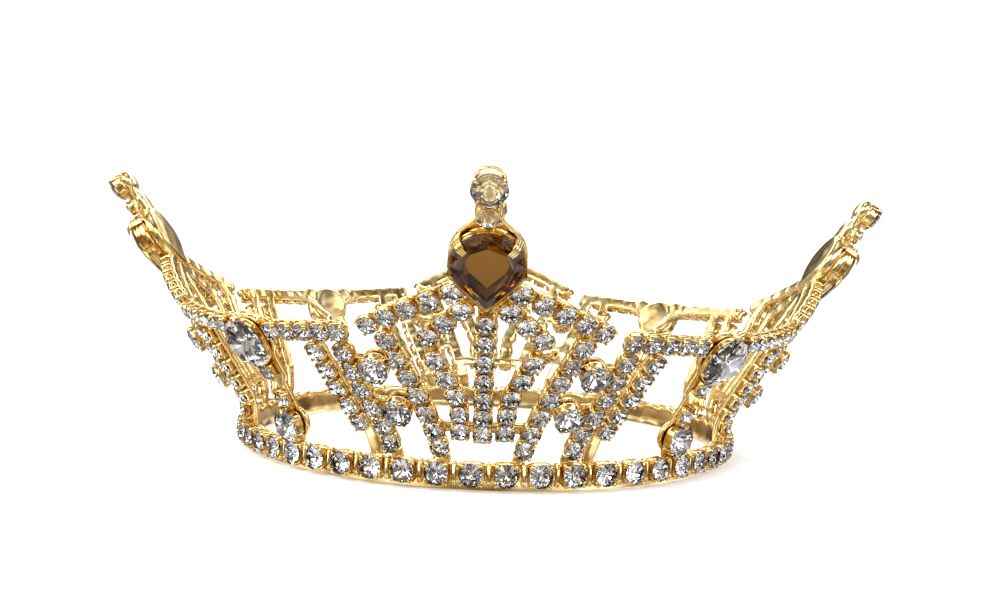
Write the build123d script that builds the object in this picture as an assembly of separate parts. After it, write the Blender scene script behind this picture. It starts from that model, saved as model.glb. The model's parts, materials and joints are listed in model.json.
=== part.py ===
from build123d import *
import os
from math import acos, asin, cos, degrees, floor, pi, radians, sin, tan

# A round four-pointed crown of gilt metal, set with clear stones and one pear stone per point.
#
# Frame: +Z up, origin at the centre of the crown on the surface that it rests on, millimetres.
# Azimuth is in degrees from the front (-Y) towards +X. Height is measured up from z = 0.
# The metal follows one flared shell: a vertical band, an outward curve, then a straight cone.

os.makedirs("parts", exist_ok=True)

# ---- driving dimensions of the shell -------------------------------------------------
BASE_RADIUS = 55.7        # outer face of the base band and foot of the flare
BAND_HEIGHT = 6.0         # the band is vertical up to here
FLARE_RADIUS = 14.0       # radius of the curve from vertical to the full lean
LEAN = 33.5               # how far the points lean outwards, in degrees
METAL = 1.0               # thickness of the band and of the openwork frames
BAR_WIDTH = 3.0           # width of the bars behind the stone chains
TIE_WIDTH = 1.6           # width of the short ties beside the round stones

# ---- chain settings: square cups with a prong at each corner --------------------------
CHAIN_STONE = 3.05        # stone diameter
CHAIN_WALL = 0.2          # cup wall
CHAIN_LINK = 0.5          # least bare length of chain between two cups
CHAIN_PITCH = CHAIN_STONE + 2 * CHAIN_WALL + CHAIN_LINK
CUP_FLOOR = 0.45          # floor thickness of every cup
CHAIN_CUP_HEIGHT = 1.5    # height of the cup walls above the frame
PRONG_RISE = 0.5          # how far the prongs stand above the cup walls
PRONG_REACH = 0.57        # prongs begin this share of a cup's side away from its centre
STONE_GAP = 0.02          # clearance between a stone's girdle and its cup

# ---- base ring ----------------------------------------------------------------------
BASE_STONE = 4.5
BASE_WALL = 0.3
BASE_CUP_HEIGHT = 2.0
BASE_LINK = 1.45          # least bare length of band between two cups
BASE_PITCH = BASE_STONE + 2 * BASE_WALL + BASE_LINK
BASE_PHASE = 1.5          # azimuth by which the ring of base stones is turned

# ---- larger settings ------------------------------------------------------------------
ROUND_STONE = 5.0         # the two round stones in each half of a panel
DROP_STONE = 6.0          # the low stone in each valley
VALLEY_STONE = 10.6       # the large stone in each valley
SETTING_WALL = 0.4
SETTING_HEIGHT = 2.6
PEAR_WIDTH = 13.0
PEAR_LENGTH = 16.0
PEAR_HEIGHT = 3.4         # depth of the pear setting's walls
NECK_STONE = 3.3          # the small round stone above the pear
SHOULDER_WIDTH = 11.6     # width of the plate's bell where it runs into the pear's backing
SHOULDER_UP = 3.4         # how far above the pear's centre that is
FINIAL_STONE = 6.2        # the round stone at each tip
CLAW_WIDTH = 1.1
CLAW_RISE = 0.7
CLAW_OUT = 0.35           # how far a claw stands out from its cup's wall
SEAT_GAP = 0.05           # clearance between neighbouring settings
SOLDER = 0.12             # film of solder between a setting and the frame under it
LARGE_SOLDER = 0.5        # the same under the wide settings, whose flat backs bridge the curve

# ---- places on one half of a panel: (azimuth from the point, height) ------------------
# Each row of stones runs through its places in turn.
CREST = ((4.6, 39.8), (17.4, 33.2))                    # top edge, from beside the pear outwards
CHEVRON = ((3.3, 36.6), (8.4, 31.5))                   # upper edge of the fan
FAN_SIDE = ((7.7, 26.9), (4.2, 18.6), (4.2, 12.5))     # side of the fan
SPINE = ((0.0, 34.2), (0.0, 12.0))                     # middle of the fan
INNER_RIB = ((15.0, 30.2), (11.4, 19.8), (8.2, 8.6))   # from the crest down to the base
OUTER_RIB = ((23.0, 27.2), (21.6, 19.0), (18.2, 8.6))  # from the rim down to the base
SIDE_RIB = ((28.3, 26.9), (26.6, 19.4), (24.3, 12.8))  # runs beside the outer rib
RIM_START = (22.9, 31.2)                               # top edge of the valley
RIM_END_HEIGHT = 30.2
RIM_STOP = 6.9                                         # from the rim's last stone to the valley stone
UPPER_ROUND = (17.6, 25.3)
LOWER_ROUND = (15.2, 16.8)
PEAR_POINT_HEIGHT = 38.2                               # height of the pear stone's lower point
VALLEY_STONE_HEIGHT = 27.7
FRONT_SPAN = 43.0         # azimuth from the front point, or the rear one, to the valleys beside it
SIDE_SPAN = 90 - FRONT_SPAN

POINTS = {"front": (0, FRONT_SPAN), "right": (90, SIDE_SPAN),
          "rear": (180, FRONT_SPAN), "left": (270, SIDE_SPAN)}
VALLEYS = {"front_right": FRONT_SPAN, "rear_right": 180 - FRONT_SPAN,
           "rear_left": 180 + FRONT_SPAN, "front_left": 360 - FRONT_SPAN}


# ---- the shell ------------------------------------------------------------------------
LEAN_RAD = radians(LEAN)
FLARE_TOP = BAND_HEIGHT + FLARE_RADIUS * sin(LEAN_RAD)
FLARE_OUT = FLARE_RADIUS * (1 - cos(LEAN_RAD))


def shell(height):
    """Radius of the frame's outer face and its lean, in radians, at a height."""
    if height <= BAND_HEIGHT:
        return BASE_RADIUS, 0.0
    if height < FLARE_TOP:
        lean = asin((height - BAND_HEIGHT) / FLARE_RADIUS)
        return BASE_RADIUS + FLARE_RADIUS * (1 - cos(lean)), lean
    return BASE_RADIUS + FLARE_OUT + (height - FLARE_TOP) * tan(LEAN_RAD), LEAN_RAD


def surface_point(place):
    """Point on the frame's outer face."""
    azimuth, height = radians(place[0]), place[1]
    radius, _ = shell(height)
    return Vector(radius * sin(azimuth), -radius * cos(azimuth), height)


def seat(place, along=None):
    """Plane on the outer face: z outwards, x along the given direction or level."""
    azimuth = radians(place[0])
    _, lean = shell(place[1])
    outward = Vector(cos(lean) * sin(azimuth), -cos(lean) * cos(azimuth), -sin(lean))
    level = Vector(cos(azimuth), sin(azimuth), 0)
    x_dir = level if along is None else along - outward * along.dot(outward)
    return Plane(origin=surface_point(place), x_dir=x_dir, z_dir=outward)


def up_slope(height, distance):
    """Height reached by going a distance up the shell from a height on its cone."""
    return height + distance * cos(LEAN_RAD)


def mirrored(row):
    return tuple((-azimuth, height) for azimuth, height in row)


def between(start, end, share):
    return tuple(a + (b - a) * share for a, b in zip(start, end))


def leg_length(start, end):
    """Length along the shell from one place to the next."""
    steps = 20
    stops = [surface_point(between(start, end, i / steps)) for i in range(steps + 1)]
    return sum((b - a).length for a, b in zip(stops, stops[1:]))


def row_length(row):
    return sum(leg_length(a, b) for a, b in zip(row, row[1:]))


def along_row(row, distance):
    """Place at a distance along a row, or on its first or last leg carried on."""
    legs = list(zip(row, row[1:]))
    for start, end in legs[:-1]:
        length = leg_length(start, end)
        if distance < length:
            return between(start, end, distance / length)
        distance -= length
    start, end = legs[-1]
    return between(start, end, distance / leg_length(start, end))


def row_seats(row):
    """Evenly spaced seats along a row, as close as the chain pitch allows."""
    total = row_length(row)
    gaps = max(1, floor(total / CHAIN_PITCH))
    reach = CHAIN_PITCH / 2
    seats = []
    for i in range(gaps + 1):
        here = i * total / gaps
        ahead = surface_point(along_row(row, here + reach)) - surface_point(along_row(row, here - reach))
        seats.append(seat(along_row(row, here), ahead))
    return seats


def at_height(row, height):
    """Place on a descending row, or on its last leg carried on, at a height."""
    for start, end in zip(row, row[1:]):
        if height >= end[1]:
            break
    return between(start, end, (height - start[1]) / (end[1] - start[1]))


# ---- master cups and stones, standing on z = 0 -----------------------------------------
def square_cup(stone, wall, height):
    """Square cup with a round seat, and a prong standing at each corner."""
    side = stone + 2 * wall
    top = height + PRONG_RISE
    cup = extrude(Rectangle(side, side), amount=top)
    cup -= Pos(0, 0, CUP_FLOOR) * extrude(Circle(stone / 2), amount=top)
    cup -= Pos(0, 0, height) * extrude(Circle(PRONG_REACH * side), amount=top)
    return cup.solid()


def round_cup(stone, wall, height, claw_angles):
    """Round cup with a claw at each angle."""
    outer = stone / 2 + wall
    cup = extrude(Circle(outer), amount=height)
    cup -= Pos(0, 0, CUP_FLOOR) * extrude(Circle(stone / 2), amount=height)
    ring = extrude(Circle(outer + CLAW_OUT) - Circle(stone / 2), amount=height + CLAW_RISE)
    for angle in claw_angles:
        bar = Rot(0, 0, angle) * Pos(outer, 0, 0) * Box(
            2 * SETTING_WALL + 2 * CLAW_OUT, CLAW_WIDTH, height + CLAW_RISE,
            align=(Align.CENTER, Align.CENTER, Align.MIN))
        cup += ring & bar
    return cup.solid()


def round_stone(diameter, cup_height):
    """Brilliant-like stone: flat table, bevelled crown, thin girdle and pointed pavilion."""
    radius = diameter / 2 - STONE_GAP
    girdle = cup_height - 0.1 * diameter
    crown = girdle + 0.05 * diameter
    outline = Polyline(
        (0, CUP_FLOOR),
        (radius, girdle),
        (radius, crown),
        (0.58 * radius, crown + 0.15 * diameter),
        (0, crown + 0.15 * diameter),
        close=True)
    return revolve(Plane.XZ * make_face(outline), axis=Axis.Z).solid()


def pear_outline(radius, point_depth):
    """Teardrop face: a circle about the origin drawn down to a point."""
    spread = acos(radius / point_depth)
    right = (radius * sin(spread), -radius * cos(spread))
    left = (-right[0], right[1])
    edges = [
        ThreePointArc(right, (0, radius), left),
        Line(left, (0, -point_depth)),
        Line((0, -point_depth), right)]
    return make_face(edges)


PEAR_RADIUS = PEAR_WIDTH / 2
PEAR_DEPTH = PEAR_LENGTH - PEAR_RADIUS     # from the centre of the round end to the point


def grown_depth(grow):
    """Depth of the point once the teardrop is offset outwards by an amount."""
    return (PEAR_RADIUS + grow) * PEAR_DEPTH / PEAR_RADIUS


def pear_cup():
    """Closed cup of the pear stone with two broad claws above and two small ones below."""
    outer = pear_outline(PEAR_RADIUS + SETTING_WALL, grown_depth(SETTING_WALL))
    inner = pear_outline(PEAR_RADIUS, PEAR_DEPTH)
    cup = extrude(outer, amount=PEAR_HEIGHT)
    cup -= Pos(0, 0, CUP_FLOOR) * extrude(inner, amount=PEAR_HEIGHT)
    reach = extrude(pear_outline(PEAR_RADIUS + SETTING_WALL + CLAW_OUT,
                                 grown_depth(SETTING_WALL + CLAW_OUT)) - inner,
                    amount=PEAR_HEIGHT + CLAW_RISE)
    for angle, width in ((42, 2.2), (138, 2.2), (-18, CLAW_WIDTH), (198, CLAW_WIDTH)):
        bar = Rot(0, 0, angle) * Pos(PEAR_RADIUS + SETTING_WALL, 0, 0) * Box(
            4 * SETTING_WALL + 2 * CLAW_OUT, width, PEAR_HEIGHT + CLAW_RISE,
            align=(Align.CENTER, Align.CENTER, Align.MIN))
        cup += reach & bar
    return cup.solid()


def pear_stone():
    """Pear stone: table and crown above the girdle, deep pavilion below."""
    radius = PEAR_RADIUS - STONE_GAP
    depth = radius * PEAR_DEPTH / PEAR_RADIUS
    girdle = PEAR_HEIGHT - 0.5
    levels = ((CUP_FLOOR + 0.1, 0.15), (girdle, 1.0), (girdle + 0.4, 1.0), (girdle + 1.7, 0.62))
    slices = [Pos(0, 0, z) * pear_outline(radius * k, depth * k) for z, k in levels]
    stone = None
    for low, high in zip(slices, slices[1:]):
        layer = loft([low, high])
        stone = layer if stone is None else stone + layer
    return stone.solid()


# ---- where the larger settings stand ----------------------------------------------------
PEAR_CENTRE = (0.0, up_slope(PEAR_POINT_HEIGHT, PEAR_DEPTH))
NECK_REACH = NECK_STONE / 2 + SETTING_WALL
FINIAL_REACH = FINIAL_STONE / 2 + SETTING_WALL
PEAR_TOP = PEAR_RADIUS + SETTING_WALL
NECK_UP = PEAR_TOP + NECK_REACH + SEAT_GAP
FINIAL_UP = NECK_UP + NECK_REACH + FINIAL_REACH + SEAT_GAP
NECK_PLACE = (0.0, up_slope(PEAR_CENTRE[1], NECK_UP))
FINIAL_PLACE = (0.0, up_slope(PEAR_CENTRE[1], FINIAL_UP))

CHAIN_HALF = CHAIN_STONE / 2 + CHAIN_WALL
VALLEY_REACH = VALLEY_STONE / 2 + SETTING_WALL
DROP_REACH = DROP_STONE / 2 + SETTING_WALL + CLAW_OUT
BASE_CUP_SIDE = BASE_STONE + 2 * BASE_WALL
BASE_CENTRE_HEIGHT = BAND_HEIGHT - BASE_CUP_SIDE / 2 - SEAT_GAP
DROP_PLACE = (0.0, BAND_HEIGHT + SEAT_GAP + DROP_REACH)
VALLEY_PLACE = (0.0, VALLEY_STONE_HEIGHT)


def column_row():
    """Short chain in a valley, between the large stone and the drop stone."""
    _, lean = shell(VALLEY_STONE_HEIGHT)
    below = VALLEY_STONE_HEIGHT - (VALLEY_REACH + CLAW_OUT + CHAIN_HALF + SEAT_GAP) * cos(lean)
    above = DROP_PLACE[1] + (DROP_REACH + CHAIN_HALF + SEAT_GAP)
    return ((0.0, below), (0.0, above))


COLUMN = column_row()

HALF_ROWS = (CREST, CHEVRON, FAN_SIDE, INNER_RIB, OUTER_RIB, SIDE_RIB)
ROUND_PLACES = (UPPER_ROUND, LOWER_ROUND) + mirrored((UPPER_ROUND, LOWER_ROUND))


def rim(span):
    """Top edge of the valley, for a panel that reaches to valleys at the given azimuth."""
    return (RIM_START, (span - RIM_STOP, RIM_END_HEIGHT))


def panel_rows(span):
    half = HALF_ROWS + (rim(span),)
    return (SPINE,) + half + tuple(mirrored(row) for row in half)


# ---- metal frames -------------------------------------------------------------------------
def shell_solid(low, high):
    """The whole flared shell between two heights, as one solid of revolution."""
    def face_point(height, inset):
        radius, lean = shell(height)
        return (radius - inset * cos(lean), height + inset * sin(lean))

    middle = (BAND_HEIGHT + FLARE_RADIUS * sin(LEAN_RAD / 2))
    edges = []
    for inset in (0.0, METAL):
        edges.append(ThreePointArc(face_point(low, inset), face_point(middle, inset),
                                   face_point(FLARE_TOP, inset)))
        edges.append(Line(face_point(FLARE_TOP, inset), face_point(high, inset)))
    edges.append(Line(face_point(high, 0.0), face_point(high, METAL)))
    edges.append(Line(face_point(low, METAL), face_point(low, 0.0)))
    return revolve(Plane.XZ * make_face(edges), axis=Axis.Z)


BAR_REACH = 6.0           # how far a bar's blank runs each side of the shell before it is trimmed


def bar(start, end, width=BAR_WIDTH, overrun=0.0):
    """Round-ended bar blank between two places, to be trimmed by the shell."""
    a, b = surface_point(start), surface_point(end)
    middle = seat(((start[0] + end[0]) / 2, (start[1] + end[1]) / 2), b - a)
    middle.origin = (a + b) * 0.5
    outline = SlotCenterToCenter((b - a).length + 2 * overrun, width)
    return extrude(middle * outline, amount=BAR_REACH, both=True)


def disc(place, radius):
    return extrude(seat(place) * Circle(radius), amount=BAR_REACH, both=True)


def bars(row):
    """Bar blanks under each leg of a row."""
    return [bar(a, b) for a, b in zip(row, row[1:])]


def half_panel_bars(span):
    """Blanks of the bars in one half of a panel, with the ties that join them."""
    rim_row = rim(span)
    fan_foot = FAN_SIDE[-1]
    valley_radius, _ = shell(VALLEY_STONE_HEIGHT)
    valley_edge = (span - degrees((VALLEY_REACH - 0.5) / valley_radius), VALLEY_STONE_HEIGHT)
    blanks = [
        bar((0.0, CREST[0][1] + 2.0), CREST[0]),
        bar((0.0, CHEVRON[0][1] + 3.0), CHEVRON[1]),
        bar(CHEVRON[1], FAN_SIDE[0]),
        bar(fan_foot, (0.0, fan_foot[1])),
        bar(between(*CREST, 0.75), INNER_RIB[0]),
        bar(INNER_RIB[-1], at_height(INNER_RIB, BAND_HEIGHT)),
        bar(fan_foot, at_height(INNER_RIB, fan_foot[1])),
        bar(between(*rim_row, 0.1), OUTER_RIB[0]),
        bar(OUTER_RIB[-1], at_height(OUTER_RIB, BAND_HEIGHT)),
        bar(between(*rim_row, 0.4), SIDE_RIB[0]),
        bar(SIDE_RIB[-1], at_height(SIDE_RIB, BAND_HEIGHT)),
        bar(rim_row[1], valley_edge)]
    for row in (CREST, FAN_SIDE, INNER_RIB, OUTER_RIB, SIDE_RIB, rim_row):
        blanks += bars(row)
    for place in (UPPER_ROUND, LOWER_ROUND):
        blanks.append(disc(place, ROUND_STONE / 2 + SETTING_WALL))
        for rib in (INNER_RIB, OUTER_RIB):
            blanks.append(bar(place, at_height(rib, place[1]), width=TIE_WIDTH))
    return blanks


def fused(blanks):
    whole = blanks[0]
    for blank in blanks[1:]:
        whole = whole + blank
    return whole


def panel_frame(flared, span):
    """Openwork frame of one point, from valley stone to valley stone."""
    half = fused(half_panel_bars(span))
    other = mirror(half, about=Plane.YZ)
    peak_outline = pear_outline(PEAR_RADIUS + SETTING_WALL, grown_depth(SETTING_WALL))
    peak = extrude(seat(PEAR_CENTRE) * peak_outline, amount=BAR_REACH, both=True)
    shoulders = Polyline(
        (-NECK_REACH, NECK_UP), (NECK_REACH, NECK_UP),
        (SHOULDER_WIDTH / 2, SHOULDER_UP), (-SHOULDER_WIDTH / 2, SHOULDER_UP), close=True)
    bell = extrude(seat(PEAR_CENTRE) * make_face(shoulders), amount=BAR_REACH, both=True)
    neck = bar(PEAR_CENTRE, FINIAL_PLACE, width=2 * NECK_REACH)
    tip = disc(FINIAL_PLACE, FINIAL_REACH)
    spine = bar(PEAR_CENTRE, (0.0, FAN_SIDE[-1][1]))
    blank = fused([half, other, spine, peak, bell, neck, tip])
    for side in (-1, 1):
        blank -= disc((side * span, VALLEY_STONE_HEIGHT), VALLEY_REACH)
    return (blank & flared).solid()


def valley_frame(flared):
    """Backing of one valley: the large stone's plate, the stem and the drop stone's plate."""
    blank = fused([
        disc(VALLEY_PLACE, VALLEY_REACH),
        bar(VALLEY_PLACE, (0.0, BAND_HEIGHT)),
        disc(DROP_PLACE, DROP_REACH - CLAW_OUT)])
    return (blank & flared).solid()


def base_band():
    ring = extrude(Circle(BASE_RADIUS) - Circle(BASE_RADIUS - METAL), amount=BAND_HEIGHT)
    return ring.solid()


# ---- groups of settings --------------------------------------------------------------------
def copies(master, seats, lift=SOLDER):
    """Copies of a master piece, one on each seat, lifted by the film of solder."""
    return [plane.offset(lift).location * master for plane in seats]


def base_seats():
    count = floor(2 * pi * BASE_RADIUS / BASE_PITCH)
    step = 360 / count
    return [seat((BASE_PHASE + (i + 0.5) * step, BASE_CENTRE_HEIGHT)) for i in range(count)]


def write(name, solids, turn=0):
    """Write one node, turned about the crown's axis."""
    placed = [Rot(0, 0, turn) * solid for solid in solids]
    shape = placed[0] if len(placed) == 1 else Compound(placed)
    export_step(shape, f"parts/{name}.step")


def build_base():
    seats = base_seats()
    write("base_band", [base_band()])
    write("base_cups", copies(square_cup(BASE_STONE, BASE_WALL, BASE_CUP_HEIGHT), seats))
    write("base_stones", copies(round_stone(BASE_STONE, BASE_CUP_HEIGHT), seats))


def point_pieces(flared, span):
    """Every node of the front point, for valleys at the given azimuth."""
    seats = [plane for row in panel_rows(span) for plane in row_seats(row)]
    round_seats = [seat(place) for place in ROUND_PLACES]
    pear, neck, finial = seat(PEAR_CENTRE), seat(NECK_PLACE), seat(FINIAL_PLACE)
    corner_claws = (45, 135, 225, 315)
    upright_claws = (65, 115, 245, 295)
    round_master = round_cup(ROUND_STONE, SETTING_WALL, SETTING_HEIGHT, upright_claws)
    neck_master = round_cup(NECK_STONE, SETTING_WALL, SETTING_HEIGHT, ())
    finial_master = round_cup(FINIAL_STONE, SETTING_WALL, SETTING_HEIGHT, corner_claws)
    return {
        "frame": [panel_frame(flared, span)],
        "chain_cups": copies(square_cup(CHAIN_STONE, CHAIN_WALL, CHAIN_CUP_HEIGHT), seats),
        "chain_stones": copies(round_stone(CHAIN_STONE, CHAIN_CUP_HEIGHT), seats),
        "round_cups": copies(round_master, round_seats, LARGE_SOLDER),
        "round_stones": copies(round_stone(ROUND_STONE, SETTING_HEIGHT), round_seats, LARGE_SOLDER),
        "pear_cup": copies(pear_cup(), [pear]),
        "pear_stone": copies(pear_stone(), [pear]),
        "finial_cups": copies(neck_master, [neck]) + copies(finial_master, [finial]),
        "finial_stones": (copies(round_stone(NECK_STONE, SETTING_HEIGHT), [neck])
                          + copies(round_stone(FINIAL_STONE, SETTING_HEIGHT), [finial]))}


def build_points(flared):
    """The four points, turned to their sides: the same pieces but for the length of the rim."""
    pieces = {span: point_pieces(flared, span) for span in (FRONT_SPAN, SIDE_SPAN)}
    for side, (turn, span) in POINTS.items():
        for name, solids in pieces[span].items():
            write(f"{side}_{name}", solids, turn)


def build_valleys(flared):
    """The four valleys between the points."""
    seats = row_seats(COLUMN)
    large, drop = seat(VALLEY_PLACE), seat(DROP_PLACE)
    top_claws = (90, 210, 330)
    pieces = {
        "valley_frame": [valley_frame(flared)],
        "valley_chain_cups": copies(square_cup(CHAIN_STONE, CHAIN_WALL, CHAIN_CUP_HEIGHT), seats),
        "valley_chain_stones": copies(round_stone(CHAIN_STONE, CHAIN_CUP_HEIGHT), seats),
        "valley_cups": (
            copies(round_cup(VALLEY_STONE, SETTING_WALL, SETTING_HEIGHT, top_claws), [large], LARGE_SOLDER)
            + copies(round_cup(DROP_STONE, SETTING_WALL, SETTING_HEIGHT, top_claws), [drop], LARGE_SOLDER)),
        "valley_stones": (
            copies(round_stone(VALLEY_STONE, SETTING_HEIGHT), [large], LARGE_SOLDER)
            + copies(round_stone(DROP_STONE, SETTING_HEIGHT), [drop], LARGE_SOLDER))}
    for side, turn in VALLEYS.items():
        for name, solids in pieces.items():
            write(f"{side}_{name}", solids, turn)


flared_shell = shell_solid(BAND_HEIGHT, up_slope(FINIAL_PLACE[1], FINIAL_REACH + METAL))
build_base()
build_points(flared_shell)
build_valleys(flared_shell)
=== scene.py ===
import json
import math

import bpy
import numpy as np
from mathutils import Matrix, Vector, noise

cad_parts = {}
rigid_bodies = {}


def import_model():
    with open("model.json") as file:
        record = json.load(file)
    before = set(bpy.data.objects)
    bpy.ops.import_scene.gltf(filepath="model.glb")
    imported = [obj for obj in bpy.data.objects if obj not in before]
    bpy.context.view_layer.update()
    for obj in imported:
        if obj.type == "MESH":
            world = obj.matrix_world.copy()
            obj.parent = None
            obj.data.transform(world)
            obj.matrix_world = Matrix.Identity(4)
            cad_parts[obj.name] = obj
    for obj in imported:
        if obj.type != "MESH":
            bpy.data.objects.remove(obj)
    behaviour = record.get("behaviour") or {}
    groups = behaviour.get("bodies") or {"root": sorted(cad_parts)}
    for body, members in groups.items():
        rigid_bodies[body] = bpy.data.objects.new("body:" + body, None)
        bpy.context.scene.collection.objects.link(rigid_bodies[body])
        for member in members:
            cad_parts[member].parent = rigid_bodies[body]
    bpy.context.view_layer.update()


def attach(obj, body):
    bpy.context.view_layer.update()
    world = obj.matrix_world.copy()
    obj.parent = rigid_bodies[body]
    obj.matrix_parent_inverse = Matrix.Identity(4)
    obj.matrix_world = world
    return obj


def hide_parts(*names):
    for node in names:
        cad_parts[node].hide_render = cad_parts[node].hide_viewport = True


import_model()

# A gilt crown of four points set with clear stones and one amber pear stone per point.
# Lengths below are millimetres; meshes are scaled to metres when they are made.
# Azimuth is in degrees from the front (-Y) towards +X, as in the CAD source.
MM = 0.001
FLOOR_DROP = 0.0001       # metres between the crown's lower edge and the floor

# ---- the shell that every piece follows ------------------------------------------------
BASE_RADIUS = 55.7
BAND_HEIGHT = 6.0
FLARE_RADIUS = 14.0
LEAN = math.radians(33.5)
FLARE_TOP = BAND_HEIGHT + FLARE_RADIUS * math.sin(LEAN)
FLARE_OUT = FLARE_RADIUS * (1 - math.cos(LEAN))
METAL = 1.0               # thickness of the band and of the frames
BAR_WIDTH = 3.2           # bars behind the stone chains
TIE_WIDTH = 2.0           # ties beside the round stones

# ---- settings: stone diameters, cup sides and heights ------------------------------------
CHAIN_STONE = 3.9
CHAIN_SIDE = 3.45
CHAIN_PITCH = 3.95        # least spacing along a chain
CHAIN_HEIGHT = 1.5
BASE_STONE = 4.7
BASE_SIDE = 4.6
BASE_HEIGHT = 2.0
BASE_COUNT = 53
BASE_PHASE = 1.5          # azimuth by which the base ring's settings are turned
BASE_CENTRE = 3.4         # height of their centres
ROUND_STONE = 6.1
DROP_STONE = 6.8
VALLEY_STONE = 11.6
NECK_STONE = 3.9
FINIAL_STONE = 6.4
WALL = 0.4
OVERHANG = 0.25           # how far a stone's girdle reaches out over its cup's wall
SETTING_HEIGHT = 2.6
VALLEY_HEIGHT = 1.8
PEAR_RADIUS = 6.5
PEAR_DEPTH = 9.5
PEAR_HEIGHT = 3.4
SOLDER = 0.12             # lift of a setting off the frame
LARGE_SOLDER = 0.5        # the same for wide settings, whose flat backs bridge the curve

# ---- places on one half of a point: (azimuth from its middle, height) --------------------
CREST = ((4.6, 39.8), (17.4, 33.2))
CHEVRON = ((3.3, 36.6), (8.4, 31.5))
FAN_SIDE = ((7.7, 26.9), (4.2, 18.6), (4.2, 12.5))
SPINE = ((0.0, 34.2), (0.0, 12.0))
INNER_RIB = ((15.0, 30.2), (11.4, 19.8), (8.2, 8.6))
OUTER_RIB = ((23.0, 27.2), (21.6, 19.0), (18.2, 8.6))
SIDE_RIB = ((28.3, 26.9), (26.6, 19.4), (24.3, 12.8))
RIM_START = (22.9, 31.2)
RIM_END_HEIGHT = 30.2
RIM_STOP = 6.9
UPPER_ROUND = (17.6, 25.3)
LOWER_ROUND = (15.2, 16.8)
VALLEY_PLACE = (0.0, 27.7)
DROP_PLACE = (0.0, 9.8)
COLUMN = ((0.0, 21.17), (0.0, 15.325))
FRONT_SPAN = 43.0
SIDE_SPAN = 90 - FRONT_SPAN
PEAR_POINT_HEIGHT = 38.2
PEAR_CENTRE = (0.0, PEAR_POINT_HEIGHT + PEAR_DEPTH * math.cos(LEAN))
# up the cone from the pear's centre: the pear cup, then half a cup, a gap and half a cup
NECK_UP = 6.9 + 2.05 + 0.05
FINIAL_UP = NECK_UP + 2.05 + 3.5 + 0.05
NECK_PLACE = (0.0, PEAR_CENTRE[1] + NECK_UP * math.cos(LEAN))
FINIAL_PLACE = (0.0, PEAR_CENTRE[1] + FINIAL_UP * math.cos(LEAN))
POINTS = {"front": (0, FRONT_SPAN), "right": (90, SIDE_SPAN),
          "rear": (180, FRONT_SPAN), "left": (270, SIDE_SPAN)}
VALLEYS = {"front_right": FRONT_SPAN, "rear_right": 180 - FRONT_SPAN,
           "rear_left": 180 + FRONT_SPAN, "front_left": 360 - FRONT_SPAN}


def shell(height):
    """Radius and lean of the frames' outer face at a height."""
    if height <= BAND_HEIGHT:
        return BASE_RADIUS, 0.0
    if height < FLARE_TOP:
        lean = math.asin((height - BAND_HEIGHT) / FLARE_RADIUS)
        return BASE_RADIUS + FLARE_RADIUS * (1 - math.cos(lean)), lean
    return BASE_RADIUS + FLARE_OUT + (height - FLARE_TOP) * math.tan(LEAN), LEAN


def on_shell(place):
    azimuth = math.radians(place[0])
    radius, _ = shell(place[1])
    return np.array((radius * math.sin(azimuth), -radius * math.cos(azimuth), place[1]))


def outward(place):
    azimuth = math.radians(place[0])
    _, lean = shell(place[1])
    return np.array((math.cos(lean) * math.sin(azimuth),
                     -math.cos(lean) * math.cos(azimuth), -math.sin(lean)))


def seat(place, along=None, lift=0.0):
    """Origin and axes (rows x, y, z) of a setting: z outwards, x level or along the row."""
    azimuth = math.radians(place[0])
    z = outward(place)
    if along is None:
        x = np.array((math.cos(azimuth), math.sin(azimuth), 0.0))
    else:
        x = along - z * along.dot(z)
        x /= np.linalg.norm(x)
    return on_shell(place) + z * lift, np.array((x, np.cross(z, x), z))


def mirrored(row):
    return tuple((-azimuth, height) for azimuth, height in row)


def between(start, end, share):
    return tuple(a + (b - a) * share for a, b in zip(start, end))


def leg_length(start, end):
    stops = [on_shell(between(start, end, i / 20)) for i in range(21)]
    return sum(np.linalg.norm(b - a) for a, b in zip(stops, stops[1:]))


def row_length(row):
    return sum(leg_length(a, b) for a, b in zip(row, row[1:]))


def along_row(row, distance):
    """Place at a distance along a row, its first and last legs carried on past the ends."""
    legs = list(zip(row, row[1:]))
    for start, end in legs[:-1]:
        length = leg_length(start, end)
        if distance < length:
            return between(start, end, distance / length)
        distance -= length
    start, end = legs[-1]
    return between(start, end, distance / leg_length(start, end))


def row_seats(row, lift=SOLDER):
    total = row_length(row)
    gaps = max(1, math.floor(total / CHAIN_PITCH))
    reach = CHAIN_PITCH / 2
    seats = []
    for i in range(gaps + 1):
        here = i * total / gaps
        ahead = on_shell(along_row(row, here + reach)) - on_shell(along_row(row, here - reach))
        seats.append(seat(along_row(row, here), ahead, lift))
    return seats


def at_height(row, height):
    for start, end in zip(row, row[1:]):
        if height >= end[1]:
            break
    return between(start, end, (height - start[1]) / (end[1] - start[1]))


def rim(span):
    return (RIM_START, (span - RIM_STOP, RIM_END_HEIGHT))


def panel_rows(span):
    half = (CREST, CHEVRON, FAN_SIDE, INNER_RIB, OUTER_RIB, SIDE_RIB, rim(span))
    return (SPINE,) + half + tuple(mirrored(row) for row in half)


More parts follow.
